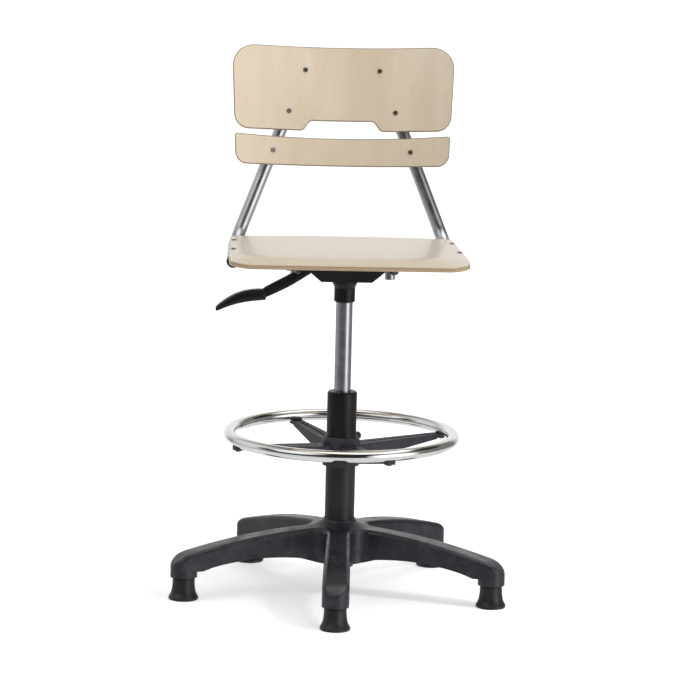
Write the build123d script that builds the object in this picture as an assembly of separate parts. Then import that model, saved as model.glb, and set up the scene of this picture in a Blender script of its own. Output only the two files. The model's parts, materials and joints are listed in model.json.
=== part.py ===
from build123d import *
import os
from math import asin, atan2, cos, degrees, hypot, radians, sin, sqrt, tan

# Height-adjustable drafting chair. Millimetres, +Z up, the sitter faces -Y.
# The origin is on the floor, on the axis of the column.

# ---------------------------------------------------------------- driving sizes
# base star and glides
ARM_COUNT = 5
STAR_TURN = -3.3            # the star stands this far round from the seat, in degrees
FOOT_RADIUS = 270.0         # column axis to a glide's axis
HOUSING_R = 22.5            # round boss at an arm's end
HOUSING_BOTTOM = 38.0
ARM_HALF_ROOT = 19.5
ARM_EDGE_R = 7.0            # rounding along an arm's top edges
ARM_WALL = 5.0
WEB_FILLET = 24.0           # concave rounding between neighbouring arms
HUB_BOTTOM = 56.0
HUB_COLLAR_R = 27.5
HUB_TOP = 127.5
STEP_OUT = 2.0              # the collar's foot spreads this far
ARM_TOP = ((62.0, 114.2), (150.0, 104.0), (259.0, 80.5))
ARM_KNEE = ((283.0, 69.0), (297.0, 50.0))
ARM_UNDER = ((244.0, 50.0), (226.0, 56.0), (172.0, 65.5), (75.0, 65.0), (46.0, HUB_BOTTOM))
GLIDE_PROFILE = ((0, 0), (24.0, 0), (25.0, 1.2), (25.0, 4.5), (22.8, 8.0), (20.8, 12.5), (19.6, 18.0),
                 (18.8, 26.0), (18.5, 35.5), (15.0, 35.5), (15.0, HOUSING_BOTTOM), (0, HOUSING_BOTTOM))
STEM_R = 5.5
STEM_TOP = 66.0

# column and gas spring
COLUMN_R = 25.0
COLUMN_WALL = 2.0
COLUMN_BOTTOM = 46.0
COLUMN_TOP = 337.0
LIP_TOP = 345.0             # top of the plastic guide's lip
GUIDE_BOTTOM = 250.0
FLOOR_PLATE = 4.0           # disc that closes the column's lower end
CYLINDER_R = 14.0
CYLINDER_WALL = 2.0
CYLINDER_BOTTOM = 190.0
CYLINDER_TOP = 541.0
GLAND = 10.0                # height of the rod gland in the cylinder's lower end
VALVE_FLOOR = 500.0         # underside of the valve block in the cylinder's top
PISTON_Z = 302.0
PISTON_HIGH = 12.0
ROD_R = 5.0
PIN_R = 3.0
RUN = 0.06                  # radial clearance of a running fit

# foot ring
RING_RADIUS = 188.0
RING_TUBE_R = 10.0
RING_WALL = 1.5
RING_Z = 269.5
RING_TURN = 22.3            # direction of the first spoke, in degrees
SPOKE_COUNT = 4
SPIDER_BOTTOM = 219.5
SPIDER_TOP = 268.5
SPIDER_R = 31.0
SPIDER_WAIST_R = 29.3
SPOKE_ROOT_TOP = 255.0
SPOKE_END_TOP = 262.0
SPOKE_UNDER = ((176, 254.0), (94, 238.5), (27, 226.0))  # (radius, height) along a spoke's lower edge
SPOKE_HALF_ROOT = 16.5
SPOKE_HALF_END = 9.5
SPOKE_SKIN = 4.0
SPOKE_WALL = 3.5
SPOKE_GROOVE = 1.5          # depth of the groove along a spoke's top
PAD_BOTTOM = 255.5          # underside of the pads that carry the ring
PAD_WIDTH = 18.0
CLAMP_Z = 264.5
CLAMP_TURN = 42.0           # direction of the clamp screw, in degrees
CLAMP_R = 3.0
CLAMP_HEAD = 6.5
SLIP = 0.3                  # gap between bodies that slide past each other loosely

# seat frame
SEAT_SLOPE = 1.8            # the seat falls this far towards the back, in degrees
TUBE_R = 11.0
TUBE_WALL = 1.5
RAIL_Z = 568.1              # height of the rails' axes above the column's axis
RAIL_FRONT = (188.5, -57.0)
RAIL_REAR = (182.3, 205.0)
BACK_LEAN_IN = 0.3976       # the back tubes close in by this much per unit of height
BACK_LEAN_BACK = 0.28
TUBE_END_Z = 875.0
BEND_R = 50.0
CROSS_R = 10.0
CROSS_FRONT_Y = -38.0
CROSS_REAR_Y = 85.0
BOLT_X = 80.0

# mechanism
PAN_DEPTH = 31.3            # rails' plane down to the pan's underside
PAN_FRONT = -65.0
PAN_REAR = 105.0
PAN_HALF_BOTTOM = 42.0
PAN_HALF_TOP = 64.0
TAB_HALF_X = 95.0
TAB_HALF_Y = 17.0
SHEET = 3.0
SOCKET_R = 20.6
SLEEVE_R = 17.6
SLEEVE_BOTTOM = 496.5
SLEEVE_TOP = 521.0
CONE_TOP = 528.5
BOLT_R = 4.0
SLEEVE_NUT_R = 8.6
SLEEVE_NUT_LONG = 30.0
LEVER_Z = 551.0
LEVER_BAR = 6.0
STEM_WIDTH = 14.0
PADDLE_WIDTH = 26.0
LEVER_PIVOT_X = -34.0
PIVOT_PIN_R = 3.0

# plywood
SEAT_THICK = 8.0
SEAT_FRONT = -202.0
SEAT_REAR = 184.0
SEAT_HALF_FRONT = 196.8
SEAT_HALF_REAR = 190.0
SEAT_REAR_CORNER_Y = 166.0  # where the bowed rear edge meets the sides
SEAT_CORNER_R = 38.0
SEAT_REAR_CORNER_R = 16.0
SEAT_ROLL_START = -120.0    # the front edge rolls down from here
SEAT_ROLL_DROP = 8.0
BACK_THICK = 8.0
BACK_RECLINE = 11.5
BACK_BEND_R = 471.0
BACK_Z = 857.0              # height and depth of one point on the back's middle surface
BACK_Y = 274.2
BACK_TOP = 897.0
UPPER_DIP = 1.0
UPPER_BOTTOM = 754.2
LOWER_TOP = 746.0
LOWER_DIP = 4.5             # the lower panel's top edge dips this much in the middle
LOWER_BOTTOM = 694.6
BACK_HALF_TOP = 192.2
BACK_HALF_BOTTOM = 183.0
NOTCH_TOP = 771.0
NOTCH_HALF_TOP = 55.0
NOTCH_HALF_BOTTOM = 67.0
NOTCH_R = 9.0
BACK_SCREW_HEIGHTS = (857.0, 786.5, 719.5)
SEAT_SCREW_YS = (-37.0, 97.0)
SCREW_R = 2.5
HEAD_R = 4.3
HEAD_HIGH = 2.2

# ---------------------------------------------------------------- derived places
slope = radians(SEAT_SLOPE)
rail_frame = Plane(origin=(0, 0, RAIL_Z), x_dir=(1, 0, 0), z_dir=(0, sin(slope), cos(slope)))
arm_angles = [STAR_TURN - 90 + 360 / ARM_COUNT * i for i in range(ARM_COUNT)]
spoke_angles = [RING_TURN + 360 / SPOKE_COUNT * i for i in range(SPOKE_COUNT)]
back_slope = tan(radians(BACK_RECLINE))


def about_z(shape, angle):
    return Rot(0, 0, angle) * shape


def rail_z(y):
    """Height of the rails' plane at a depth y."""
    return RAIL_Z - y * tan(slope)


def cylinder_between(radius, z_low, z_high, x=0.0, y=0.0):
    return Pos(x, y, (z_low + z_high) / 2) * Cylinder(radius, z_high - z_low)


def tube_between(outer, inner, z_low, z_high):
    return cylinder_between(outer, z_low, z_high) - cylinder_between(inner, z_low - 1, z_high + 1)


def turned(points):
    """Solid of revolution about Z from (radius, height) points."""
    face = make_face(Polyline([(r, 0, z) for r, z in points], close=True))
    return revolve(face, Axis.Z, 360)


def slab(points, y_low, y_high):
    """Outline of (x, z) points, extruded along Y."""
    face = make_face(Polyline([(x, y_low, z) for x, z in points], close=True))
    return extrude(face, amount=y_high - y_low, dir=(0, 1, 0))


# ---------------------------------------------------------------- base star
def star_section():
    """Half section of the star's top and underside, for a solid of revolution."""
    foot = (HUB_COLLAR_R + STEP_OUT, HUB_TOP - 4)
    with BuildSketch(Plane.XZ) as side:
        with BuildLine():
            Polyline(ARM_UNDER[-1], (0, HUB_BOTTOM), (0, HUB_TOP), (HUB_COLLAR_R, HUB_TOP), foot)
            ThreePointArc(foot, (44.0, 117.0), ARM_TOP[0])
            ThreePointArc(*ARM_TOP)
            ThreePointArc(ARM_TOP[-1], *ARM_KNEE)
            Polyline(ARM_KNEE[1], ARM_UNDER[0], ARM_UNDER[1])
            ThreePointArc(*ARM_UNDER[1:4])
            Line(ARM_UNDER[3], ARM_UNDER[4])
        make_face()
    return side.sketch


def hollow_section():
    """Half section of the room inside the arms, a wall's thickness under their tops."""
    roof = [(r, z - ARM_WALL) for r, z in ARM_TOP]
    with BuildSketch(Plane.XZ) as side:
        with BuildLine():
            ThreePointArc(*roof)
            Polyline(roof[2], (roof[2][0], 0), (roof[0][0], 0), roof[0])
        make_face()
    return side.sketch


def star_plan():
    """Plan of the five arms, widening to their round ends, with concave webs between them."""
    arm = make_face(Polyline([(0, -ARM_HALF_ROOT), (FOOT_RADIUS - 8, -HOUSING_R), (FOOT_RADIUS - 8, HOUSING_R),
                              (0, ARM_HALF_ROOT)], close=True))
    arm += Pos(FOOT_RADIUS, 0) * Circle(HOUSING_R)
    arm += Pos(FOOT_RADIUS - 4, 0) * Rectangle(8, 2 * HOUSING_R)
    plan = arm
    for index in range(1, ARM_COUNT):
        plan += Rot(0, 0, 360 / ARM_COUNT * index) * arm
    inner = [v for v in plan.vertices() if hypot(v.X, v.Y) < 60]
    return fillet(inner, WEB_FILLET)


def star_envelope():
    """Solid star with its top edges rounded."""
    body = extrude(star_plan(), amount=HUB_TOP + 5) & revolve(star_section(), Axis.Z, 360)
    tops = [face for face in body.faces() if face.normal_at().Z > 0.25]
    edges = [edge for face in tops for edge in face.edges()]
    rim = [edge for edge in edges if sum(edge.is_same(other) for other in edges) == 1]
    rim = [edge for edge in rim if hypot(edge.center().X, edge.center().Y) > 40]
    return fillet(rim, ARM_EDGE_R)


def make_base_star():
    star = star_envelope()
    hollow_x = (62.0, FOOT_RADIUS - HOUSING_R - ARM_WALL)
    middle, length = sum(hollow_x) / 2, hollow_x[1] - hollow_x[0]
    hollow = Pos(middle, 0, 60) * Box(length, 2 * (ARM_HALF_ROOT - ARM_WALL), 120)
    hollow -= Pos(middle, 0, 60) * Box(length, 3.0, 120)
    hollow = hollow & revolve(hollow_section(), Axis.Z, 360)
    boss = cylinder_between(HOUSING_R, HOUSING_BOTTOM, ARM_UNDER[0][1] + 6, x=FOOT_RADIUS)
    socket = cylinder_between(STEM_R, 0, STEM_TOP, x=FOOT_RADIUS)
    for index in range(ARM_COUNT):
        turn = 360 / ARM_COUNT * index
        star = star - about_z(hollow, turn) + about_z(boss, turn) - about_z(socket, turn)
    star -= cylinder_between(COLUMN_R, 0, HUB_TOP + 1)
    return about_z(star, STAR_TURN - 90)


def make_glide():
    """Bell-shaped foot with its flared rim on the floor."""
    return Pos(FOOT_RADIUS, 0, 0) * (turned(GLIDE_PROFILE) - cylinder_between(STEM_R, 8, HOUSING_BOTTOM + 1))


def make_glide_stems():
    stem = cylinder_between(STEM_R, 8, STEM_TOP, x=FOOT_RADIUS)
    return Compound(children=[about_z(stem, angle) for angle in arm_angles])


# ---------------------------------------------------------------- column and gas spring
def make_column_tube():
    tube = tube_between(COLUMN_R, COLUMN_R - COLUMN_WALL, COLUMN_BOTTOM, COLUMN_TOP)
    floor = tube_between(COLUMN_R - COLUMN_WALL, ROD_R + 0.5, COLUMN_BOTTOM, COLUMN_BOTTOM + FLOOR_PLATE)
    return tube + floor


def make_column_guide():
    """Plastic guide pressed into the column, with a lip that covers the tube's end."""
    sleeve = cylinder_between(COLUMN_R - COLUMN_WALL, GUIDE_BOTTOM, COLUMN_TOP)
    lip = turned([(0, COLUMN_TOP), (COLUMN_R, COLUMN_TOP), (COLUMN_R, LIP_TOP - 2.5),
                  (COLUMN_R - 2.5, LIP_TOP), (0, LIP_TOP)])
    return sleeve + lip - cylinder_between(CYLINDER_R + RUN, GUIDE_BOTTOM - 1, LIP_TOP + 1)


BEARING_Z = COLUMN_BOTTOM + FLOOR_PLATE
RACE_R = 16.0
RACE_HIGH = 2.0
BALL_R = 2.0
UPPER_RACE_Z = BEARING_Z + RACE_HIGH + 2 * BALL_R + 0.4
BUFFER_Z = UPPER_RACE_Z + RACE_HIGH


def make_lower_race():
    """Washer of the thrust bearing that lies on the column's floor plate."""
    return tube_between(RACE_R, ROD_R + 1, BEARING_Z, BEARING_Z + RACE_HIGH)


def make_bearing_balls():
    ball = Pos(11.5, 0, BEARING_Z + RACE_HIGH + BALL_R) * Sphere(BALL_R)
    return Compound(children=[about_z(ball, 45 * i) for i in range(8)])


def make_upper_race():
    """Washer of the thrust bearing that carries the rod's shoulder."""
    return tube_between(RACE_R, ROD_R, UPPER_RACE_Z, UPPER_RACE_Z + RACE_HIGH)


def make_rubber_buffer():
    """Ring that cushions the cylinder at the bottom of its travel."""
    return tube_between(13, ROD_R, BUFFER_Z, BUFFER_Z + 12)


def make_piston_rod():
    """Rod from under the column's floor plate up through the piston."""
    return cylinder_between(ROD_R, COLUMN_BOTTOM - 6, PISTON_Z + PISTON_HIGH)


def make_rod_clip():
    """Spring clip on the rod's end, under the column's floor plate."""
    return tube_between(9, ROD_R, COLUMN_BOTTOM - 3.5, COLUMN_BOTTOM - 1.5)


def make_piston():
    bore = CYLINDER_R - CYLINDER_WALL
    return tube_between(bore - RUN, ROD_R, PISTON_Z, PISTON_Z + PISTON_HIGH)


def make_gas_cylinder():
    bore = CYLINDER_R - CYLINDER_WALL
    body = cylinder_between(CYLINDER_R, CYLINDER_BOTTOM, CYLINDER_TOP)
    body -= cylinder_between(bore, CYLINDER_BOTTOM + GLAND, VALVE_FLOOR)
    body -= cylinder_between(ROD_R + RUN, CYLINDER_BOTTOM - 1, CYLINDER_BOTTOM + GLAND + 1)
    return body - cylinder_between(PIN_R + RUN, VALVE_FLOOR - 1, CYLINDER_TOP + 1)


def make_release_pin():
    """Valve pin that opens the gas spring when the lever presses it."""
    return cylinder_between(PIN_R, VALVE_FLOOR + 6, LEVER_Z - LEVER_BAR / 2 - 0.4)


# ---------------------------------------------------------------- foot ring
def make_foot_ring():
    ring = Pos(0, 0, RING_Z) * Torus(RING_RADIUS, RING_TUBE_R)
    return ring - Pos(0, 0, RING_Z) * Torus(RING_RADIUS, RING_TUBE_R - RING_WALL)


def spoke_plan(root, end, inset):
    """Tapered plan of a spoke along +X, with its sides moved in by an inset."""
    near, far = SPOKE_HALF_ROOT - inset, SPOKE_HALF_END - inset
    return Polygon((root, -near), (end, -far), (end, far), (root, near), align=None)


def make_spoke():
    """One spoke along +X: a tapered channel open below, grooved on top, and a pad under the ring."""
    root, end = SPOKE_UNDER[-1][0], SPOKE_UNDER[0][0]
    side = [(root, SPOKE_ROOT_TOP), (end, SPOKE_END_TOP), *SPOKE_UNDER]
    spoke = slab(side, -SPOKE_HALF_ROOT, SPOKE_HALF_ROOT) & Pos(0, 0, SPIDER_BOTTOM) * extrude(
        spoke_plan(root, end, 0), amount=60)
    fall = (SPOKE_END_TOP - SPOKE_ROOT_TOP) / (end - root)
    hollow = slab([(root, SPOKE_ROOT_TOP - SPOKE_SKIN), (end, SPOKE_END_TOP - SPOKE_SKIN), (end, SPIDER_BOTTOM),
                   (root, SPIDER_BOTTOM)], -SPOKE_HALF_ROOT, SPOKE_HALF_ROOT)
    hollow = hollow & Pos(0, 0, SPIDER_BOTTOM - 5) * extrude(spoke_plan(root, end, SPOKE_WALL), amount=60)
    keep = cylinder_between(SPIDER_R + 1, SPIDER_BOTTOM - 10, SPIDER_TOP)
    groove_start, groove_end = SPIDER_R + 12, end - 12
    groove = slab([(x, SPOKE_ROOT_TOP + fall * (x - root) + lift) for x, lift in
                   ((groove_start, -SPOKE_GROOVE), (groove_end, -SPOKE_GROOVE), (groove_end, 5), (groove_start, 5))],
                  -2.0, 2.0)
    pad_high = SPOKE_END_TOP - PAD_BOTTOM
    pad = Pos(RING_RADIUS - 4, 0, PAD_BOTTOM + pad_high / 2) * Box(24, PAD_WIDTH, pad_high)
    return spoke - (hollow - keep) - groove + fillet(pad.edges().filter_by(Axis.Z), 3.0)


def make_ring_spider():
    """Moulded hub with four spokes, which slides on the column."""
    spider = turned([(0, SPIDER_BOTTOM), (SPIDER_R, SPIDER_BOTTOM), (SPIDER_R, SPIDER_BOTTOM + 7),
                     (SPIDER_WAIST_R, SPIDER_BOTTOM + 10), (SPIDER_WAIST_R, SPIDER_TOP - 18),
                     (SPIDER_R, SPIDER_TOP - 16), (SPIDER_R, SPIDER_TOP - 5),
                     (SPIDER_R - 3.5, SPIDER_TOP), (0, SPIDER_TOP)])
    spoke = make_spoke()
    for angle in spoke_angles:
        spider += about_z(spoke, angle)
    spider -= Pos(0, 0, RING_Z) * Torus(RING_RADIUS, RING_TUBE_R)
    spider += clamp_place(SPIDER_R + 1) * Cylinder(CLAMP_HEAD + 0.5, 8)
    spider -= cylinder_between(COLUMN_R + SLIP, SPIDER_BOTTOM - 1, SPIDER_TOP + 1)
    spider -= clamp_place(SPIDER_R) * Cylinder(CLAMP_R + RUN, 30)
    for angle in spoke_angles:
        spider -= about_z(ring_screw(), angle)
    return spider


def clamp_place(distance):
    """Place on the clamp screw's radial axis, its Z along the axis."""
    return Rot(0, 0, CLAMP_TURN) * Pos(distance, 0, CLAMP_Z) * Rot(0, 90, 0)


def make_clamp_screw():
    """Hexagon screw that clamps the ring's hub on the column."""
    tip = COLUMN_R + 2 * SLIP
    head = SPIDER_R + 5 + SLIP
    shank = clamp_place((tip + head) / 2) * Cylinder(CLAMP_R, head - tip)
    return shank + clamp_place(head) * extrude(RegularPolygon(CLAMP_HEAD, 6), amount=5)


def ring_screw():
    """Screw from below, through a spoke's pad, up to the ring."""
    shank = cylinder_between(2.0, PAD_BOTTOM, RING_Z - RING_TUBE_R, x=RING_RADIUS)
    return shank + cylinder_between(4.5, PAD_BOTTOM - 2.5, PAD_BOTTOM, x=RING_RADIUS)


def make_ring_screws():
    return Compound(children=[about_z(ring_screw(), angle) for angle in spoke_angles])


# ---------------------------------------------------------------- seat frame
def rail_point(place, side):
    """Point on a rail's axis, for a place (x, y)."""
    return Vector(side * place[0], place[1], rail_z(place[1]))


def back_tube_point(z, side):
    """Point on a back tube's axis at a height z."""
    rise = z - rail_z(RAIL_REAR[1])
    return Vector(side * (RAIL_REAR[0] - BACK_LEAN_IN * rise), RAIL_REAR[1] + BACK_LEAN_BACK * rise, z)


def frame_path(side):
    corners = [rail_point(RAIL_FRONT, side), rail_point(RAIL_REAR, side), back_tube_point(TUBE_END_Z, side)]
    return FilletPolyline(corners, radius=BEND_R)


def frame_rod(side, radius):
    """Solid rod of a radius along the frame tube's whole path."""
    path = frame_path(side)
    return sweep(Plane(path @ 0, z_dir=path % 0) * Circle(radius), path=path)


def make_frame_tube(side):
    """Side rail under the seat and back tube, bent from one length."""
    tube = frame_rod(side, TUBE_R) - frame_rod(side, TUBE_R - TUBE_WALL)
    for z in BACK_SCREW_HEIGHTS:
        tube -= back_screw_shape(z, side, SCREW_R, SCREW_R)
    for y in SEAT_SCREW_YS:
        tube -= seat_screw_shape(y, side, SCREW_R, SCREW_R)
    return tube


def plug_solid(inner_point, end_point, head_r, length):
    """Domed plug pressed into a tube's end, facing away from a point inside the tube."""
    head = cylinder_between(head_r, 0, length)
    head = fillet(head.edges().group_by(Axis.Z)[-1], length - 2.5)
    insert = cylinder_between(TUBE_R - TUBE_WALL, -12, 0)
    return Plane(end_point, z_dir=(end_point - inner_point).normalized()).location * (head + insert)


def make_rail_plug(side):
    return plug_solid(rail_point(RAIL_REAR, side), rail_point(RAIL_FRONT, side), TUBE_R, 10.0)


def make_top_plug(side):
    low = back_tube_point(TUBE_END_Z - 100, side)
    return plug_solid(low, back_tube_point(TUBE_END_Z, side), TUBE_R, 5.0)


def rail_x(y):
    """Distance of the rails' axes from the middle at a depth y."""
    part = (y - RAIL_FRONT[1]) / (RAIL_REAR[1] - RAIL_FRONT[1])
    return RAIL_FRONT[0] + part * (RAIL_REAR[0] - RAIL_FRONT[0])


def make_cross_tube(y):
    """Tube across from rail to rail, its ends cut to fit round them, with two bolt holes."""
    half = rail_x(y)
    bar = Rot(0, 90, 0) * (Cylinder(CROSS_R, 2 * half) - Cylinder(CROSS_R - TUBE_WALL, 2 * half + 2))
    bar = rail_frame.location * Pos(0, y, 0) * bar
    for side in (-1, 1):
        front, rear = rail_point(RAIL_FRONT, side), rail_point(RAIL_REAR, side)
        along = Plane((front + rear) / 2, z_dir=rear - front)
        bar -= along.location * Cylinder(TUBE_R, (rear - front).length)
    bar = max(bar.solids(), key=lambda piece: piece.volume)
    for x, bolt_y in bolt_places():
        bar -= rail_frame.location * bolt_shank(x, bolt_y)
    return bar


# ---------------------------------------------------------------- mechanism
def trough(inset, top):
    """Trapezoid outline of the pan in the rails' frame, or of its hollow when inset by the sheet."""
    half_top = PAN_HALF_TOP - 1.6 * inset
    half_bottom = PAN_HALF_BOTTOM - 0.6 * inset
    low = inset - PAN_DEPTH
    shoulder = -CROSS_R - SHEET
    return [(-half_top, top), (-half_top, shoulder), (-half_bottom, low), (half_bottom, low),
            (half_top, shoulder), (half_top, top)]


def bolt_places():
    return [(side * BOLT_X, y) for side in (-1, 1) for y in (CROSS_FRONT_Y, CROSS_REAR_Y)]


def bolt_shank(x, y):
    """Shank of a mechanism bolt in the rails' frame."""
    return cylinder_between(BOLT_R, -CROSS_R - SHEET - 8, CROSS_R, x, y)


def make_mechanism_pan():
    """Pressed-steel trough under the cross tubes, with four bolting tabs and the lever's ears."""
    pan = slab(trough(0.0, -CROSS_R), PAN_FRONT, PAN_REAR)
    pan -= slab(trough(SHEET, 0.0), PAN_FRONT + SHEET, PAN_REAR - SHEET)
    tab_from = PAN_HALF_TOP - 4
    tab = Box(TAB_HALF_X - tab_from, 2 * TAB_HALF_Y, SHEET)
    for x, y in bolt_places():
        middle = (tab_from + TAB_HALF_X) / 2
        pan += Pos(middle if x > 0 else -middle, y, -CROSS_R - SHEET / 2) * tab
        pan -= bolt_shank(x, y)
    pan = rail_frame.location * pan
    pan -= Pos(-PAN_HALF_TOP, 0, LEVER_Z + 5) * Box(40, 28, 22)
    pan -= cylinder_between(SOCKET_R, SLEEVE_TOP, CYLINDER_TOP + 20)
    ear_low = rail_z(0) - PAN_DEPTH + SHEET / 2
    ear_high = LEVER_Z + 8
    for y in (-8.5, 8.5):
        pan += Pos(LEVER_PIVOT_X, y, (ear_low + ear_high) / 2) * Box(14, 3, ear_high - ear_low)
    return pan - pivot_cylinder(PIVOT_PIN_R, 60)


def pivot_cylinder(radius, length):
    return Pos(LEVER_PIVOT_X, 0, LEVER_Z) * Rot(90, 0, 0) * Cylinder(radius, length)


def make_lever_pin():
    return pivot_cylinder(PIVOT_PIN_R, 24)


def make_taper_socket():
    """Steel cone that grips the top of the gas cylinder."""
    return turned([(CYLINDER_R, SLEEVE_TOP), (SLEEVE_R, SLEEVE_TOP), (SOCKET_R, CONE_TOP),
                   (SOCKET_R, CYLINDER_TOP - 1), (CYLINDER_R, CYLINDER_TOP - 1)])


def make_taper_sleeve():
    """Black sleeve under the socket, round the cylinder."""
    return turned([(CYLINDER_R, SLEEVE_BOTTOM), (SLEEVE_R - 1.5, SLEEVE_BOTTOM), (SLEEVE_R, SLEEVE_BOTTOM + 1.5),
                   (SLEEVE_R, SLEEVE_TOP), (CYLINDER_R, SLEEVE_TOP)])


def lever_blank():
    """Flat steel bar from over the valve pin, past the pivot, into the handle."""
    return Pos(-45, 0, LEVER_Z) * Box(106, 9, LEVER_BAR)


def make_lever_bar():
    return lever_blank() + pivot_cylinder(7.0, 9) - pivot_cylinder(PIVOT_PIN_R + RUN, 20)


def make_lever_handle():
    """Black handle: a deep stem and a flat curved paddle."""
    stem = slab([(-58.0, 542.0), (-58.0, 556.0), (-70.0, 555.0), (-92.0, 541.5), (-138.5, 516.5),
                 (-133.0, 500.5), (-92.0, 520.5), (-70.0, 535.0)], -STEM_WIDTH / 2, STEM_WIDTH / 2)
    with BuildSketch(Plane.XZ) as side:
        with BuildLine():
            Polyline((-132, 516), (-132, 497.5))
            ThreePointArc((-132, 497.5), (-181, 490), (-213.5, 477))
            Line((-213.5, 477), (-216, 484))
            ThreePointArc((-216, 484), (-181, 508), (-132, 516))
        make_face()
    paddle = extrude(side.sketch, amount=PADDLE_WIDTH / 2, both=True)
    paddle = fillet(paddle.edges().filter_by(Axis.Y), 2.5)
    return stem + paddle - lever_blank()


def make_plate_bolts():
    """Four bolts through the pan's tabs and the cross tubes, the front pair with heads below."""
    bolts = []
    for x, y in bolt_places():
        bolt = bolt_shank(x, y)
        if y < 0:
            under = -CROSS_R - SHEET
            bolt += Pos(x, y, under - 6) * extrude(RegularPolygon(7.2, 6), amount=6)
        bolts.append(rail_frame.location * bolt)
    return Compound(children=bolts)


def make_sleeve_nut(side):
    """Long sleeve nut on a rear bolt, under the pan's tab."""
    high = -CROSS_R - SHEET
    low = high - SLEEVE_NUT_LONG
    nut = turned([(0, low), (SLEEVE_NUT_R - 1, low), (SLEEVE_NUT_R, low + 1), (SLEEVE_NUT_R, high), (0, high)])
    nut = Pos(side * BOLT_X, CROSS_REAR_Y, 0) * nut - bolt_shank(side * BOLT_X, CROSS_REAR_Y)
    return rail_frame.location * nut


# ---------------------------------------------------------------- seat panel
def seat_outline():
    """Plan of the seat: round front corners, slight taper, bowed rear edge."""
    with BuildSketch() as plan:
        with BuildLine():
            front, rear = SEAT_FRONT, SEAT_REAR_CORNER_Y
            Polyline((-SEAT_HALF_REAR, rear), (-SEAT_HALF_FRONT, SEAT_ROLL_START),
                     (-SEAT_HALF_FRONT + 1, front), (SEAT_HALF_FRONT - 1, front),
                     (SEAT_HALF_FRONT, SEAT_ROLL_START), (SEAT_HALF_REAR, rear))
            ThreePointArc((SEAT_HALF_REAR, rear), (0, SEAT_REAR), (-SEAT_HALF_REAR, rear))
        make_face()
        corners = plan.vertices()
        fillet(corners.filter_by(lambda v: v.Y < SEAT_ROLL_START - 5), SEAT_CORNER_R)
        fillet(plan.vertices().filter_by(lambda v: v.Y > rear - 5), SEAT_REAR_CORNER_R)
    return plan.sketch


def make_seat_panel():
    """Formed plywood seat with a rolled front edge and four screw holes."""
    low = TUBE_R
    run = SEAT_ROLL_START - SEAT_FRONT
    roll_r = (run ** 2 + SEAT_ROLL_DROP ** 2) / (2 * SEAT_ROLL_DROP)
    end_angle = degrees(atan2(run, roll_r - SEAT_ROLL_DROP))
    with BuildSketch(Plane.YZ) as side:
        with BuildLine() as outline:
            Line((SEAT_ROLL_START, low), (SEAT_REAR + 10, low))
            Line((SEAT_REAR + 10, low), (SEAT_REAR + 10, low + SEAT_THICK))
            Line((SEAT_REAR + 10, low + SEAT_THICK), (SEAT_ROLL_START, low + SEAT_THICK))
            top = CenterArc((SEAT_ROLL_START, low + SEAT_THICK - roll_r), roll_r, 90, end_angle)
            under = CenterArc((SEAT_ROLL_START, low + SEAT_THICK - roll_r), roll_r - SEAT_THICK, 90, end_angle)
            Line(top @ 1, under @ 1)
        make_face()
    sheet = extrude(side.sketch, amount=SEAT_HALF_FRONT + 10, both=True)
    panel = sheet & Pos(0, 0, -60) * extrude(seat_outline(), amount=120)
    panel = rail_frame.location * panel
    for side_sign in (-1, 1):
        for y in SEAT_SCREW_YS:
            panel -= seat_screw_shape(y, side_sign, SCREW_R, SCREW_R)
    return panel


def seat_screw_shape(y, side, shank_r, head_r, head_high=0.0):
    """Screw down through the seat into the rail, in the rails' frame."""
    top = TUBE_R + SEAT_THICK
    local_y = y / cos(slope)
    shape = cylinder_between(shank_r, TUBE_R - 7.0, top + 0.01, side * rail_x(y), local_y)
    if head_high:
        shape += cylinder_between(head_r, top, top + head_high, side * rail_x(y), local_y)
    return rail_frame.location * shape


def make_seat_screws():
    screws = [seat_screw_shape(y, side, SCREW_R, HEAD_R, 1.2) for side in (-1, 1) for y in SEAT_SCREW_YS]
    return Compound(children=screws)


# ---------------------------------------------------------------- back panels
recline = radians(BACK_RECLINE)
back_frame = Plane(origin=(0, BACK_Y, BACK_Z), x_dir=(1, 0, 0), z_dir=(0, -cos(recline), sin(recline)))


def along_back(z):
    """Distance up the reclined back from its reference point to a height z."""
    return (z - BACK_Z) / cos(recline)


def sag(x):
    """How far the bent back stands forward of its middle at x."""
    return BACK_BEND_R - sqrt(BACK_BEND_R ** 2 - x ** 2)


def back_half_width(z):
    part = (z - LOWER_BOTTOM) / (BACK_TOP - LOWER_BOTTOM)
    return BACK_HALF_BOTTOM + part * (BACK_HALF_TOP - BACK_HALF_BOTTOM)


def bent_sheet(thick, low, high):
    """Sheet bent about an axis in front of the back, between two distances up the back."""
    ring = Circle(BACK_BEND_R + thick / 2) - Circle(BACK_BEND_R - thick / 2)
    ring = ring & Pos(0, BACK_BEND_R) * Rectangle(2 * BACK_HALF_TOP + 20, 160)
    stand = Plane(origin=(0, low, BACK_BEND_R), x_dir=(1, 0, 0), z_dir=(0, 1, 0))
    return stand.location * extrude(ring, amount=high - low)


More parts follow.
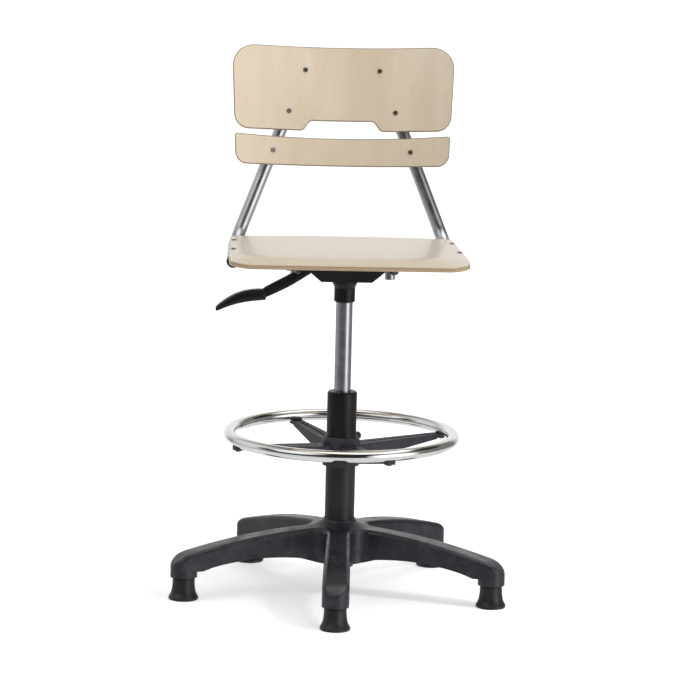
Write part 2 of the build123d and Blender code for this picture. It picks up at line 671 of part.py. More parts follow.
def back_panel(bottom, top, top_r, bottom_r, notch=None, dip=0.0):
    """One bent panel of the back, cut to its outline along the back's normal."""
    low, high = along_back(bottom), along_back(top)
    wide_low, wide_high = back_half_width(bottom), back_half_width(top)
    corners = [(wide_high, high), (-wide_high, high), (-wide_low, low)]
    if notch:
        corners += [(-NOTCH_HALF_BOTTOM, low), (-NOTCH_HALF_TOP, along_back(NOTCH_TOP)),
                    (NOTCH_HALF_TOP, along_back(NOTCH_TOP)), (NOTCH_HALF_BOTTOM, low)]
    corners.append((wide_low, low))
    with BuildSketch() as flat:
        with BuildLine():
            Polyline(corners[1:] + corners[:1])
            ThreePointArc(corners[0], (0, high - dip), corners[1])
        make_face()
        fillet(flat.vertices().filter_by(lambda v: v.Y > high - 1), top_r)
        fillet(flat.vertices().filter_by(lambda v: v.Y < low + 1 and abs(v.X) > NOTCH_HALF_BOTTOM + 5), bottom_r)
        if notch:
            fillet(flat.vertices().filter_by(lambda v: abs(v.X) < NOTCH_HALF_BOTTOM + 5), notch)
    prism = Pos(0, 0, -100) * extrude(flat.sketch, amount=200)
    panel = back_frame.location * (bent_sheet(BACK_THICK, low - 5, high + 5) & prism)
    for z in BACK_SCREW_HEIGHTS:
        if bottom < z < top:
            for side in (-1, 1):
                panel -= back_screw_shape(z, side, SCREW_R, SCREW_R)
    return panel


def make_upper_back():
    return back_panel(UPPER_BOTTOM, BACK_TOP, 38.0, 25.0, notch=NOTCH_R, dip=UPPER_DIP)


def make_lower_back():
    return back_panel(LOWER_BOTTOM, LOWER_TOP, 5.0, 20.0, dip=LOWER_DIP)


def back_screw_place(z, side):
    """Place on the bent panel's front face at a screw, its Z axis along the face's normal."""
    x = back_tube_point(z, side).X
    turn = degrees(asin(x / BACK_BEND_R))
    return back_frame.location * Pos(0, along_back(z), BACK_BEND_R) * Rot(0, -turn, 0) \
        * Pos(0, 0, BACK_THICK / 2 - BACK_BEND_R)


def back_screw_shape(z, side, shank_r, head_r, head_high=0.0):
    """Screw through a back panel into the tube behind it."""
    shape = cylinder_between(shank_r, -BACK_THICK - 8.0, 0.3)
    if head_high:
        head = turned([(0, 0.1), (head_r, 0.1), (head_r, 0.6), (head_r * 0.72, head_high), (0, head_high)])
        socket = Pos(0, 0, head_high - 1.4) * extrude(RegularPolygon(2.0, 6), amount=4)
        shape = shape + head - socket
    return back_screw_place(z, side) * shape


def make_back_screws():
    screws = [back_screw_shape(z, side, SCREW_R, HEAD_R, HEAD_HIGH) for side in (-1, 1)
              for z in BACK_SCREW_HEIGHTS]
    return Compound(children=screws)


def make_back_spacers():
    """Washers between the back panels and the tubes, one on each back screw."""
    panels = upper_back + lower_back
    spacers = []
    for side in (-1, 1):
        tube = frame_rod(side, TUBE_R)
        for z in BACK_SCREW_HEIGHTS:
            spacer = back_screw_place(z, side) * cylinder_between(6.0, -BACK_THICK - 6.0, -BACK_THICK + 0.5)
            spacer = spacer - tube - panels - back_screw_shape(z, side, SCREW_R, SCREW_R)
            spacers.append(max(spacer.solids(), key=lambda piece: piece.center().Y * -1))
    return Compound(children=spacers)


# ---------------------------------------------------------------- output
upper_back = make_upper_back()
lower_back = make_lower_back()
nodes = {
    "base_star": make_base_star(),
    "glide_stems": make_glide_stems(),
    "column_tube": make_column_tube(),
    "column_guide": make_column_guide(),
    "bearing_lower_race": make_lower_race(),
    "bearing_balls": make_bearing_balls(),
    "bearing_upper_race": make_upper_race(),
    "rubber_buffer": make_rubber_buffer(),
    "piston_rod": make_piston_rod(),
    "rod_clip": make_rod_clip(),
    "piston": make_piston(),
    "gas_cylinder": make_gas_cylinder(),
    "release_pin": make_release_pin(),
    "foot_ring": make_foot_ring(),
    "ring_spider": make_ring_spider(),
    "ring_clamp_screw": make_clamp_screw(),
    "ring_screws": make_ring_screws(),
    "frame_tube_left": make_frame_tube(1),
    "frame_tube_right": make_frame_tube(-1),
    "rail_plug_left": make_rail_plug(1),
    "rail_plug_right": make_rail_plug(-1),
    "top_plug_left": make_top_plug(1),
    "top_plug_right": make_top_plug(-1),
    "cross_tube_front": make_cross_tube(CROSS_FRONT_Y),
    "cross_tube_rear": make_cross_tube(CROSS_REAR_Y),
    "mechanism_pan": make_mechanism_pan(),
    "taper_socket": make_taper_socket(),
    "taper_sleeve": make_taper_sleeve(),
    "plate_bolts": make_plate_bolts(),
    "sleeve_nut_left": make_sleeve_nut(1),
    "sleeve_nut_right": make_sleeve_nut(-1),
    "lever_pin": make_lever_pin(),
    "lever_bar": make_lever_bar(),
    "lever_handle": make_lever_handle(),
    "seat_panel": make_seat_panel(),
    "seat_screws": make_seat_screws(),
    "upper_back": upper_back,
    "lower_back": lower_back,
    "back_spacers": make_back_spacers(),
    "back_screws": make_back_screws(),
}
for index, angle in enumerate(arm_angles):
    nodes[f"glide_{index + 1}"] = about_z(make_glide(), angle)

os.makedirs("parts", exist_ok=True)
for name, shape in nodes.items():
    export_step(shape, f"parts/{name}.step")
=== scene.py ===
import bpy
import bmesh
import json
from math import asin, atan2, cos, pi, radians, sin, sqrt, tan
from mathutils import Matrix, Vector


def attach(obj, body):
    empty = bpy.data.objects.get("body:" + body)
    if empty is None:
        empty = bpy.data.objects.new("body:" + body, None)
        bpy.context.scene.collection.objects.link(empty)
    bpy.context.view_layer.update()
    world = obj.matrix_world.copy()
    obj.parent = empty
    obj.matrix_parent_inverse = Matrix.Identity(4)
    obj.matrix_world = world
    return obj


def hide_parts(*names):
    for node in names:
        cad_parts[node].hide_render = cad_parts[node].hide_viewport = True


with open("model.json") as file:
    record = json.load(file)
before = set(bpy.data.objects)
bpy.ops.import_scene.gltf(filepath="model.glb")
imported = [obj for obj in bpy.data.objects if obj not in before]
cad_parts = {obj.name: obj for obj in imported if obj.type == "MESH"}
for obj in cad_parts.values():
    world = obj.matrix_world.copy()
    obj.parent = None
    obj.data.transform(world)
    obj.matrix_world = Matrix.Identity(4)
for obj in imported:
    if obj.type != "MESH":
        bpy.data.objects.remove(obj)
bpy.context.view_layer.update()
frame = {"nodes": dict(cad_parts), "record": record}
MM = 0.001
slot_of = {part["node"]: part["material_slot"] for part in frame["record"]["subparts"]}

# ------------------------------------------------------------ materials
PLIES = 7
SCUFF_GAIN = 2.4            # a scuff is this much paler than the plastic's light tone
SHADED_PAINT = 0.45         # the column's high part against the paint's dark tone
FLECK_ROUND = 0.12          # flecks are this much less stretched than the grain
CUT_EDGE = (0.022, 0.978)   # share of the thickness between the two face veneers


class Nodes:
    """Short ways to add nodes to one node tree."""

    def __init__(self, tree):
        self.tree = tree

    def node(self, kind, **inputs):
        made = self.tree.nodes.new(kind)
        for key, value in inputs.items():
            self.feed(made.inputs[key.replace("_", " ")], value)
        return made

    def feed(self, socket, value):
        if isinstance(value, bpy.types.NodeSocket):
            self.tree.links.new(value, socket)
        else:
            socket.default_value = value

    def math(self, operation, first, second=0.0):
        made = self.tree.nodes.new("ShaderNodeMath")
        made.operation = operation
        for socket, value in zip(made.inputs, (first, second)):
            self.feed(socket, value)
        return made.outputs[0]

    def noise(self, scale, stretch=(1, 1, 1), detail=4.0, rough=0.55):
        mapping = self.node("ShaderNodeMapping", Vector=self.coords, Scale=stretch)
        made = self.node("ShaderNodeTexNoise", Vector=mapping.outputs[0], Scale=scale,
                         Detail=detail, Roughness=rough)
        return made.outputs[0]

    def ramp(self, factor, dark, light, low=0.3, high=0.7):
        """One colour below a value of the factor and the other above a second one."""
        made = self.node("ShaderNodeValToRGB", Fac=factor)
        for element, place, colour in zip(made.color_ramp.elements, (low, high), (dark, light)):
            element.position = place
            element.color = (*colour, 1.0)
        return made.outputs[0]

    def span(self, value, low, high, to_low=0.0, to_high=1.0):
        made = self.tree.nodes.new("ShaderNodeMapRange")
        for socket, number in zip(made.inputs, (value, low, high, to_low, to_high)):
            self.feed(socket, number)
        return made.outputs[0]

    def mix(self, factor, first, second):
        made = self.tree.nodes.new("ShaderNodeMix")
        made.data_type = "RGBA"
        self.feed(made.inputs[0], factor)
        for socket, colour in ((made.inputs[6], first), (made.inputs[7], second)):
            linked = isinstance(colour, bpy.types.NodeSocket)
            self.feed(socket, colour if linked else (*colour, 1.0))
        return made.outputs[2]

    def height(self, vector):
        return self.node("ShaderNodeSeparateXYZ", Vector=vector).outputs["Z"]


class Mat(Nodes):
    """A Principled material whose colour, roughness and bump come from procedural nodes."""

    def __init__(self, name, rough, metal=0.0, spec=0.5, coat=0.0, coat_rough=0.1):
        self.mat = bpy.data.materials.new(name)
        self.mat.use_nodes = True
        super().__init__(self.mat.node_tree)
        self.shader = self.tree.nodes["Principled BSDF"]
        self.set("Roughness", rough)
        self.set("Metallic", metal)
        self.set("Specular IOR Level", spec)
        self.set("Coat Weight", coat)
        self.set("Coat Roughness", coat_rough)
        self.coords = self.node("ShaderNodeTexCoord").outputs["Object"]

    def set(self, socket, value):
        self.feed(self.shader.inputs[socket], value)

    def bump(self, height, strength, distance):
        made = self.node("ShaderNodeBump", Height=height, Strength=strength, Distance=distance)
        self.set("Normal", made.outputs[0])


def moulded_plastic(name, dark, light, rough, grain=900.0, depth=0.00012, spec=0.5,
                    rubbed=0.08, scuffs=0.15):
    """Injection-moulded plastic: eroded grain, faint flow marks, rubbed patches, pale scuffs."""
    m = Mat(name, rough, spec=spec)
    colour = m.ramp(m.noise(scale=9.0, detail=3.0), dark, light)
    marks = m.noise(scale=48.0, detail=6.0, rough=0.7)
    marks = m.span(marks, low=0.48, high=0.70, to_high=scuffs)
    m.set("Base Color", m.mix(marks, colour, tuple(SCUFF_GAIN * c for c in light)))
    patches = m.noise(scale=26.0, detail=6.0, rough=0.65)
    m.set("Roughness", m.span(patches, 0.3, 0.7, rough - rubbed, rough + rubbed))
    m.bump(m.noise(scale=grain, detail=2.0), strength=0.35, distance=depth)
    return m.mat


def coated_steel(name, dark, light, rough, high_part=None):
    """Coated steel with a slight orange peel, darker above a height if one is given."""
    m = Mat(name, rough, spec=0.3, coat=0.12, coat_rough=rough * 0.6)
    colour = m.ramp(m.noise(scale=14.0), dark, light)
    if high_part:
        shade = m.span(m.height(m.coords), *high_part)
        colour = m.mix(shade, colour, tuple(SHADED_PAINT * c for c in dark))
    m.set("Base Color", colour)
    patches = m.noise(scale=60.0, detail=6.0)
    m.set("Roughness", m.span(patches, 0.3, 0.7, rough - 0.05, rough + 0.07))
    m.bump(m.noise(scale=420.0, detail=1.0), strength=0.25, distance=0.0001)
    return m.mat


def bright_metal(name, dark, light, rough, scale=300.0, strength=0.08):
    """Plated or turned steel with a fine texture and a cloudy, handled surface."""
    m = Mat(name, rough, metal=1.0)
    m.set("Base Color", m.ramp(m.noise(scale=18.0, detail=5.0), dark, light))
    clouds = m.noise(scale=45.0, detail=6.0)
    m.set("Roughness", m.span(clouds, 0.3, 0.7, rough * 0.8, rough * 1.35))
    m.bump(m.noise(scale=scale, detail=3.0), strength=strength, distance=0.00005)
    return m.mat


def plywood(name, face_dark, face_light, edge_dark, edge_light, stretch, coat):
    """Lacquered beech plywood: flecked face veneer, and its plies on the cut edge."""
    m = Mat(name, 0.42, coat=coat, coat_rough=0.16)
    across = m.node("ShaderNodeAttribute")
    across.attribute_name = "ply"
    across = across.outputs["Fac"]
    broad = m.noise(scale=7.0, stretch=stretch, detail=6.0, rough=0.6)
    fine = m.noise(scale=60.0, stretch=stretch, detail=4.0, rough=0.65)
    fleck_stretch = tuple(FLECK_ROUND + (1 - FLECK_ROUND) * s for s in stretch)
    fleck = m.noise(scale=420.0, stretch=fleck_stretch, detail=2.0)
    face = m.ramp(broad, face_dark, face_light, low=0.32, high=0.68)
    face = m.mix(m.span(fine, low=0.35, high=0.75, to_high=0.20), face, (0.62, 0.47, 0.31))
    face = m.mix(m.span(fleck, low=0.60, high=0.76, to_high=0.14), face, (0.50, 0.34, 0.20))
    wave = m.math("SINE", m.math("MULTIPLY", across, PLIES * pi))
    ragged = m.math("MULTIPLY", m.math("SUBTRACT", fine, 0.5), 0.8)
    edge = m.mix(m.span(m.math("ADD", wave, ragged), -0.5, 0.5), edge_dark, edge_light)
    inside = m.math("MULTIPLY", m.span(across, 0.0, CUT_EDGE[0]), m.span(across, 1.0, CUT_EDGE[1]))
    m.set("Base Color", m.mix(inside, face, edge))
    m.set("Roughness", m.span(broad, 0.3, 0.7, 0.36, 0.50))
    relief = m.math("ADD", fine, m.math("MULTIPLY", fleck, 0.5))
    m.bump(relief, strength=0.10, distance=0.0002)
    return m.mat


GRAIN_UP, GRAIN_BACK = (1.0, 1.0, 0.08), (0.08, 1.0, 1.0)
COLUMN_SHADE = (0.245, 0.275)   # heights between which the column's paint darkens, in metres
materials = {
    "base_nylon": moulded_plastic(
        "base_nylon", (0.0115, 0.0132, 0.0168), (0.0220, 0.0245, 0.0305), 0.36,
        spec=0.55, rubbed=0.16, scuffs=0.6),
    "glide_plastic": moulded_plastic(
        "glide_plastic", (0.014, 0.014, 0.014), (0.022, 0.022, 0.022), 0.36,
        spec=0.4, scuffs=0.4),
    "spider_nylon": moulded_plastic(
        "spider_nylon", (0.026, 0.027, 0.034), (0.04, 0.041, 0.05), 0.45, spec=0.3),
    "black_plastic": moulded_plastic(
        "black_plastic", (0.005, 0.005, 0.0055), (0.009, 0.009, 0.0095), 0.33,
        spec=0.3, grain=500.0, depth=0.00006),
    "rubber": moulded_plastic(
        "rubber", (0.015, 0.015, 0.015), (0.03, 0.03, 0.03), 0.75, grain=250.0),
    "column_paint": coated_steel(
        "column_paint", (0.017, 0.0176, 0.0195), (0.025, 0.026, 0.0285), 0.36,
        high_part=COLUMN_SHADE),
    "mechanism_paint": coated_steel(
        "mechanism_paint", (0.006, 0.006, 0.007), (0.011, 0.011, 0.012), 0.40),
    "cylinder_steel": bright_metal(
        "cylinder_steel", (0.50, 0.51, 0.53), (0.62, 0.63, 0.65), 0.22, scale=900.0),
    "ring_chrome": bright_metal(
        "ring_chrome", (0.74, 0.74, 0.73), (0.86, 0.86, 0.85), 0.07),
    "tube_satin": bright_metal(
        "tube_satin", (0.50, 0.51, 0.53), (0.60, 0.61, 0.63), 0.29, scale=900.0, strength=0.02),
    "screw_zinc": bright_metal(
        "screw_zinc", (0.20, 0.19, 0.17), (0.34, 0.33, 0.30), 0.30),
    "steel": bright_metal(
        "steel", (0.42, 0.42, 0.42), (0.58, 0.58, 0.58), 0.30, scale=500.0),
    # the back's cut edges are darker than the seat's: partly the plies' own tone, partly painted
    # shade of edges that turn away from the key light
    "ply": plywood(
        "ply", (0.645, 0.530, 0.388), (0.790, 0.690, 0.545),
        (0.09, 0.07, 0.045), (0.25, 0.19, 0.125), GRAIN_UP, 0.45),
    "seat_ply": plywood(
        "seat_ply", (0.63, 0.54, 0.42), (0.71, 0.63, 0.51),
        (0.24, 0.16, 0.09), (0.52, 0.38, 0.24), GRAIN_BACK, 0.5),
}

for node, obj in frame["nodes"].items():
    chosen = materials[slot_of[node]]
    if not obj.material_slots:
        obj.data.materials.append(chosen)
    for held in obj.material_slots:
        held.material = chosen

# ------------------------------------------------------------ mesh helpers
ARC_STEPS = 10              # straight pieces in a rounded corner
MITRE_LEAST = 0.4           # keeps a sharp corner's inset from running away
EDGE_FLAT = 0.8             # width of the flat ring beside an edge's rounding, in mm
# an edge's rounding, as shares of its radius: how far in from the side, how deep from the face
EDGE_ROUNDING = ((1.0, 0.0), (0.62, 0.08), (0.29, 0.29), (0.08, 0.62), (0.0, 1.0))


def finish_piece(name, bm, material, body, replaced, sharp):
    """Makes a piece of a bmesh, smooth except over its sharp edges, that replaces a CAD node."""
    bmesh.ops.recalc_face_normals(bm, faces=bm.faces)
    mesh = bpy.data.meshes.new(name)
    bm.to_mesh(mesh)
    bm.free()
    mesh.shade_smooth()
    mesh.set_sharp_from_angle(angle=radians(sharp))
    obj = bpy.data.objects.new(name, mesh)
    bpy.context.scene.collection.objects.link(obj)
    obj.data.materials.append(material)
    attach(obj, body)
    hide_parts(replaced)


def bridge(bm, loops):
    """Faces between each closed loop of vertices and the next one."""
    count = len(loops[0])
    for near, far in zip(loops, loops[1:]):
        for i in range(count):
            bm.faces.new((near[i], near[(i + 1) % count], far[(i + 1) % count], far[i]))


def inset_loop(points, distance):
    """Closed 2D outline moved inwards by a distance (outline anticlockwise)."""
    moved = []
    for i, point in enumerate(points):
        before, here = Vector(points[i - 1]), Vector(point)
        after = Vector(points[(i + 1) % len(points)])
        one = (here - before).normalized()
        two = (after - here).normalized()
        normal = Vector((-one.y - two.y, one.x + two.x)).normalized()
        reach = distance / max(MITRE_LEAST, normal.dot(Vector((-one.y, one.x))))
        moved.append(tuple(here + normal * reach))
    return moved


def rounded(corners):
    """Outline from (x, y, radius) corners, anticlockwise, with an arc in each corner."""
    points = []
    for i, (x, y, r) in enumerate(corners):
        if r <= 0:
            points.append((x, y))
            continue
        here = Vector((x, y))
        before = (Vector(corners[i - 1][:2]) - here).normalized()
        after = (Vector(corners[(i + 1) % len(corners)][:2]) - here).normalized()
        half = before.angle(after) / 2
        start = here + before * (r / tan(half))
        end = here + after * (r / tan(half))
        centre = here + (before + after).normalized() * (r / sin(half))
        a = atan2(start.y - centre.y, start.x - centre.x)
        b = atan2(end.y - centre.y, end.x - centre.x)
        while b - a > pi:
            b -= 2 * pi
        while b - a < -pi:
            b += 2 * pi
        for k in range(ARC_STEPS + 1):
            t = a + (b - a) * k / ARC_STEPS
            points.append((centre.x + r * cos(t), centre.y + r * sin(t)))
    return points


def ply_panel(name, outline, thick, soften, place, cuts, material, replaced):
    """Bent plywood panel from its flat outline, with soft edges, cut in strips so it can bend."""
    rings = [(soften + EDGE_FLAT, 0)]
    rings += [(soften * inset, soften * depth) for inset, depth in EDGE_ROUNDING]
    rings += [(inset, thick - depth) for inset, depth in reversed(rings)]
    bm = bmesh.new()
    across = bm.verts.layers.float.new("ply")
    loops = [[bm.verts.new((x, y, depth)) for x, y in inset_loop(outline, inset)]
             for inset, depth in rings]
    bridge(bm, loops)
    caps = [bm.faces.new(loops[0]), bm.faces.new(list(reversed(loops[-1])))]
    bm.normal_update()      # without normals, a cap with a notch is triangulated right across it
    bmesh.ops.triangulate(bm, faces=caps, ngon_method="EAR_CLIP")
    for normal, cut in cuts:
        geometry = bm.verts[:] + bm.edges[:] + bm.faces[:]
        bmesh.ops.bisect_plane(bm, geom=geometry, plane_co=Vector(normal) * cut,
                               plane_no=normal, dist=1e-4)
    for vert in bm.verts:
        vert[across] = min(1.0, max(0.0, vert.co.z / thick))
        vert.co = place(vert.co.x, vert.co.y, vert.co.z) * MM
    finish_piece(name, bm, material, "seat", replaced, sharp=50.0)


def steps(low, high, step):
    count = int(round((high - low) / step))
    return [low + step * i for i in range(count + 1)]


ALONG_X, ALONG_Y = (1, 0, 0), (0, 1, 0)

# ------------------------------------------------------------ seat, sizes in mm as in the CAD
SEAT_SLOPE = radians(1.8)
SEAT_LEVEL = 587.1          # top of the seat over the column's axis
SEAT_FRONT, SEAT_REAR, SEAT_REAR_CORNER = -202.0, 184.0, 166.0
SEAT_HALF_FRONT, SEAT_HALF_REAR = 196.8, 190.0
SEAT_TAPER = 1.0            # the front corners stand this far inside the widest place
SEAT_CORNER_R, SEAT_REAR_CORNER_R = 38.0, 16.0
SEAT_BOW_HALF = 160.0       # the bowed rear edge is drawn between these places
SEAT_THICK = 8.0
SEAT_SOFTEN = 2.2
ROLL_START, ROLL_DROP = -120.0, 8.0
SIDE_FLAT, SIDE_RUN, SIDE_DROP = 178.0, 20.0, 2.6   # the sides turn down past SIDE_FLAT
SIDE_CUTS_END = 194.0
SEAT_STRIP = 4.0
roll_run = ROLL_START - SEAT_FRONT
roll_radius = (roll_run ** 2 + ROLL_DROP ** 2) / (2 * ROLL_DROP)


def seat_place(x, y, depth):
    """Point of the seat panel for a flat place and a depth under its top."""
    if y < ROLL_START:
        turn = asin(min(1.0, (ROLL_START - y) / roll_radius))
        radius = roll_radius - depth
        y_local = ROLL_START - radius * sin(turn)
        z_local = radius * cos(turn) - roll_radius
    else:
        y_local, z_local = y, -depth
    z_local -= SIDE_DROP * (max(0.0, abs(x) - SIDE_FLAT) / SIDE_RUN) ** 2
    lean, rise = sin(SEAT_SLOPE), cos(SEAT_SLOPE)
    return Vector((x, y_local * rise + z_local * lean,
                   SEAT_LEVEL - y_local * lean + z_local * rise))


def seat_outline():
    """Flat outline of the seat, with its rear edge bowed."""
    bow = SEAT_REAR - SEAT_REAR_CORNER
    radius = (SEAT_HALF_REAR ** 2 + bow ** 2) / (2 * bow)
    corners = [(-SEAT_HALF_FRONT + SEAT_TAPER, SEAT_FRONT, SEAT_CORNER_R),
               (SEAT_HALF_FRONT - SEAT_TAPER, SEAT_FRONT, SEAT_CORNER_R),
               (SEAT_HALF_FRONT, ROLL_START, 0.0),
               (SEAT_HALF_REAR, SEAT_REAR_CORNER, SEAT_REAR_CORNER_R)]
    for x in steps(-SEAT_BOW_HALF, SEAT_BOW_HALF, 10.0):
        corners.append((-x, SEAT_REAR - radius + sqrt(radius ** 2 - x ** 2), 0.0))
    corners += [(-SEAT_HALF_REAR, SEAT_REAR_CORNER, SEAT_REAR_CORNER_R),
                (-SEAT_HALF_FRONT, ROLL_START, 0.0)]
    return rounded(corners)


seat_cuts = [(ALONG_Y, y) for y in steps(SEAT_FRONT + SEAT_STRIP, ROLL_START, SEAT_STRIP)]
seat_cuts += [(ALONG_X, side * x) for side in (-1, 1)
              for x in steps(SIDE_FLAT, SIDE_CUTS_END, SEAT_STRIP)]
ply_panel("seat", seat_outline(), SEAT_THICK, SEAT_SOFTEN, seat_place, seat_cuts,
          materials["seat_ply"], "seat_panel")

# ------------------------------------------------------------ back, sizes in mm as in the CAD
RECLINE = radians(11.5)
BEND_R = 471.0
BACK_THICK = 8.0
BACK_SOFTEN = 2.0
BACK_POINT = Vector((0.0, 274.2, 857.0))
BACK_UP = Vector((0.0, sin(RECLINE), cos(RECLINE)))
BACK_OUT = Vector((0.0, -cos(RECLINE), sin(RECLINE)))
BACK_BOTTOM, BACK_TOP = 694.6, 897.0
BACK_HALF, BACK_WIDENS = 183.0, 9.2     # half width at the bottom, and what it gains to the top
LOWER_TOP, UPPER_BOTTOM = 746.0, 754.2
LOWER_TOP_R, LOWER_BOTTOM_R, LOWER_DIP = 5.0, 20.0, 4.5
UPPER_TOP_R, UPPER_BOTTOM_R, UPPER_DIP = 38.0, 25.0, 1.0
NOTCH_HALF_BOTTOM, NOTCH_HALF_TOP, NOTCH_TOP, NOTCH_R = 67.0, 55.0, 771.0, 9.0
DIP_HALF = 140.0            # a dipping top edge is drawn between these places


def back_place(x, along, depth):
    """Point of a back panel for a flat place and a depth behind its front face."""
    radius = BEND_R - BACK_THICK / 2 + depth
    bend = BACK_OUT * (BEND_R - sqrt(radius ** 2 - x ** 2))
    return BACK_POINT + Vector((x, 0, 0)) + BACK_UP * along + bend


def up_back(z):
    return (z - BACK_POINT.z) / cos(RECLINE)


def back_half(z):
    return BACK_HALF + (z - BACK_BOTTOM) / (BACK_TOP - BACK_BOTTOM) * BACK_WIDENS


def back_outline(bottom, top, top_r, bottom_r, dip, notch):
    """Flat outline of a back panel, its top edge dipping and its bottom edge notched or not."""
    low, high = up_back(bottom), up_back(top)
    wide_low, wide_high = back_half(bottom), back_half(top)
    corners = [(-wide_low, low, bottom_r)]
    if notch:
        up = up_back(NOTCH_TOP)
        corners += [(-NOTCH_HALF_BOTTOM, low, NOTCH_R), (-NOTCH_HALF_TOP, up, NOTCH_R),
                    (NOTCH_HALF_TOP, up, NOTCH_R), (NOTCH_HALF_BOTTOM, low, NOTCH_R)]
    corners += [(wide_low, low, bottom_r), (wide_high, high, top_r)]
    for x in steps(-DIP_HALF, DIP_HALF, 20.0):
        corners.append((-x, high - dip * (1 - (x / wide_high) ** 2), 0.0))
    corners.append((-wide_high, high, top_r))
    return rounded(corners)


back_cuts = [(ALONG_X, x) for x in steps(-188.0, 188.0, 8.0)]
upper = back_outline(UPPER_BOTTOM, BACK_TOP, UPPER_TOP_R, UPPER_BOTTOM_R, UPPER_DIP, notch=True)
lower = back_outline(BACK_BOTTOM, LOWER_TOP, LOWER_TOP_R, LOWER_BOTTOM_R, LOWER_DIP, notch=False)
for panel, outline, replaced in (("back_upper", upper, "upper_back"),
                                 ("back_lower", lower, "lower_back")):
    ply_panel(panel, outline, BACK_THICK, BACK_SOFTEN, back_place, back_cuts,
              materials["ply"], replaced)

# ------------------------------------------------------------ lever
# sections across the lever in mm: place along X, underside, top and half width
STEM = [(-58.0, 542.5, 555.5, 6.4), (-62.0, 540.6, 556.0, 7.0), (-68.0, 536.6, 555.2, 7.2),
        (-76.0, 531.4, 551.4, 7.2), (-84.0, 526.2, 546.6, 7.2), (-94.0, 520.4, 541.0, 7.2),
        (-104.0, 515.2, 535.4, 7.2), (-114.0, 510.2, 530.0, 7.2), (-124.0, 505.4, 524.6, 7.2),
        (-134.0, 501.0, 519.0, 7.0), (-142.0, 500.0, 512.0, 6.0)]
PADDLE = [(-131.5, 500.4, 513.6, 10.4), (-132.2, 498.4, 515.4, 12.2), (-134.5, 497.6, 516.0, 12.9),
          (-145.0, 496.6, 516.0, 13.0), (-157.0, 495.2, 515.0, 13.0), (-169.0, 493.1, 512.6, 13.0),
          (-181.0, 490.3, 508.4, 13.0), (-192.0, 486.7, 502.8, 12.8), (-201.0, 483.2, 497.0, 12.2),
          (-208.0, 480.0, 491.6, 11.0), (-212.5, 478.2, 487.6, 9.2), (-215.2, 478.2, 484.6, 6.0)]
STEM_SQUARE, PADDLE_SQUARE = 4.5, 3.4   # 2 is an ellipse, more is squarer
LOFT_POINTS = 40


def squared(value, power):
    return abs(value) ** (2 / power) * (1 if value >= 0 else -1)


def loft(bm, stations, power):
    """Closed body through rounded sections standing across X, capped at both ends."""
    loops = []
    for x, low, high, half in stations:
        middle, tall = (low + high) / 2, (high - low) / 2
        loop = []
        for k in range(LOFT_POINTS):
            turn = 2 * pi * k / LOFT_POINTS
            y, z = squared(cos(turn), power), squared(sin(turn), power)
            loop.append(bm.verts.new(Vector((x, half * y, middle + tall * z)) * MM))
        loops.append(loop)
    bridge(bm, loops)
    bm.faces.new(loops[0])
    bm.faces.new(list(reversed(loops[-1])))


grip = bmesh.new()
loft(grip, STEM, STEM_SQUARE)
loft(grip, PADDLE, PADDLE_SQUARE)
finish_piece("lever_grip", grip, materials["black_plastic"], "lever",
             "lever_handle", sharp=48.0)

# ------------------------------------------------------------ floor
FLOOR_REACH = 40.0
FLOOR_GLOW = 0.45
FLOOR_TONES = (0.88, 0.88, 0.88), (0.9, 0.9, 0.9)

floor_mesh = bpy.data.meshes.new("floor")
floor_corners = [(x * FLOOR_REACH, y * FLOOR_REACH, 0)
                 for x, y in ((-1, -1), (1, -1), (1, 1), (-1, 1))]
floor_mesh.from_pydata(floor_corners, [], [(0, 1, 2, 3)])
floor = bpy.data.objects.new("floor", floor_mesh)
bpy.context.scene.collection.objects.link(floor)
paper = Mat("floor", 0.9, spec=0.1)
paper.set("Emission Color", (1.0, 1.0, 1.0, 1.0))
paper.set("Emission Strength", FLOOR_GLOW)
paper.set("Base Color", paper.ramp(paper.noise(scale=0.6), *FLOOR_TONES))
floor.data.materials.append(paper.mat)
floor.visible_glossy = False    # metal reflects the studio's world instead

# ------------------------------------------------------------ light
KEY_PLACE, KEY_AIM = Vector((3.22, -1.86, 3.45)), Vector((0, 0, 0.1))
KEY_SIZE, KEY_WATTS = 0.75, 68
STUDIO_LEVEL, DARKEST = 0.22, 0.03
# parts of the studio that gloss shows: direction, inner and outer angle in degrees, added light
STUDIO_PATCHES = [
    ((0.20, 0.0, 1.0), 16, 36, 1.9),
    ((0.77, -0.62, 0.14), 12, 30, 1.75),
    ((-0.90, 0.35, 0.40), 14, 40, 0.55),
    ((-0.62, -0.50, 0.62), 12, 30, 1.0),
    ((0.0, 1.0, 0.12), 24, 42, 0.70),
    ((-0.40, -1.0, 0.10), 24, 58, -0.16),
    ((0.05, -1.0, 0.75), 16, 44, -0.20),
    ((0.70, 0.25, 0.62), 7, 17, -0.90),
    ((-0.78, -0.10, 0.30), 6, 15, -0.50),
]
FLOOR_BOUNCE = (-0.20, -0.34, 0.0, 0.6)     # light added below the horizon, by height
COOL, WARM, WHITE = (0.93, 0.97, 1.0), (1.0, 0.86, 0.66), (1.0, 1.0, 1.0)

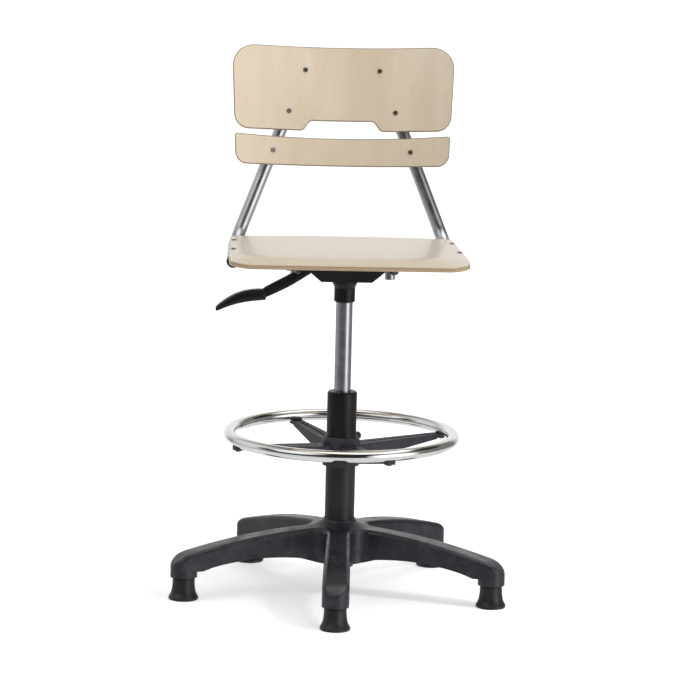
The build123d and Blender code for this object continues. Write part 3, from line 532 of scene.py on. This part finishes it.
key_data = bpy.data.lights.new("key_right", "AREA")
key_data.shape = "RECTANGLE"
key_data.size = key_data.size_y = KEY_SIZE
key_data.energy = KEY_WATTS
key = bpy.data.objects.new("key_right", key_data)
key.location = KEY_PLACE
key.rotation_euler = (KEY_AIM - KEY_PLACE).to_track_quat("-Z", "Y").to_euler()
key.visible_glossy = False
bpy.context.scene.collection.objects.link(key)

world = bpy.data.worlds.new("studio")
bpy.context.scene.world = world
world.use_nodes = True
studio = Nodes(world.node_tree)
sight = studio.node("ShaderNodeTexCoord").outputs["Generated"]


def patch(toward, inner, outer, gain):
    """Light from a round part of the studio, full inside the inner angle, none past the outer."""
    made = studio.tree.nodes.new("ShaderNodeVectorMath")
    made.operation = "DOT_PRODUCT"
    studio.feed(made.inputs[0], sight)
    made.inputs[1].default_value = Vector(toward).normalized()
    return studio.span(made.outputs["Value"], cos(radians(outer)), cos(radians(inner)),
                       to_high=gain)


level = STUDIO_LEVEL
for lamp in STUDIO_PATCHES:
    level = studio.math("ADD", level, patch(*lamp))
height = studio.height(sight)
level = studio.math("ADD", level, studio.span(height, *FLOOR_BOUNCE))
level = studio.math("MAXIMUM", level, DARKEST)
tint = studio.mix(studio.span(height, 0.05, 0.55), COOL, WARM)
sky = studio.tree.nodes["Background"]
studio.feed(sky.inputs["Color"], studio.mix(studio.span(level, 0.08, 0.6), tint, WHITE))
studio.feed(sky.inputs["Strength"], level)

# ------------------------------------------------------------ camera
CAMERA_FAR, CAMERA_HIGH = 6.194, 1.462
YAW, PITCH, PAN, ROLL = radians(2.67), radians(9.41), radians(-0.095), radians(1.35)
SENSOR, LENS, CLIP_END = 36.0, 199.92, 100.0

camera_data = bpy.data.cameras.new("camera")
camera_data.sensor_width = SENSOR
camera_data.lens = LENS
camera_data.clip_end = CLIP_END
camera = bpy.data.objects.new("camera", camera_data)
camera.rotation_mode = "QUATERNION"
camera.location = (-CAMERA_FAR * sin(YAW), -CAMERA_FAR * cos(YAW), CAMERA_HIGH)
facing = (Matrix.Rotation(-YAW - PAN, 3, "Z") @ Matrix.Rotation(pi / 2 - PITCH, 3, "X")
          @ Matrix.Rotation(ROLL, 3, "Z"))
camera.rotation_quaternion = facing.to_quaternion()
bpy.context.scene.collection.objects.link(camera)
bpy.context.scene.camera = camera
bpy.context.scene.view_settings.view_transform = "Standard"
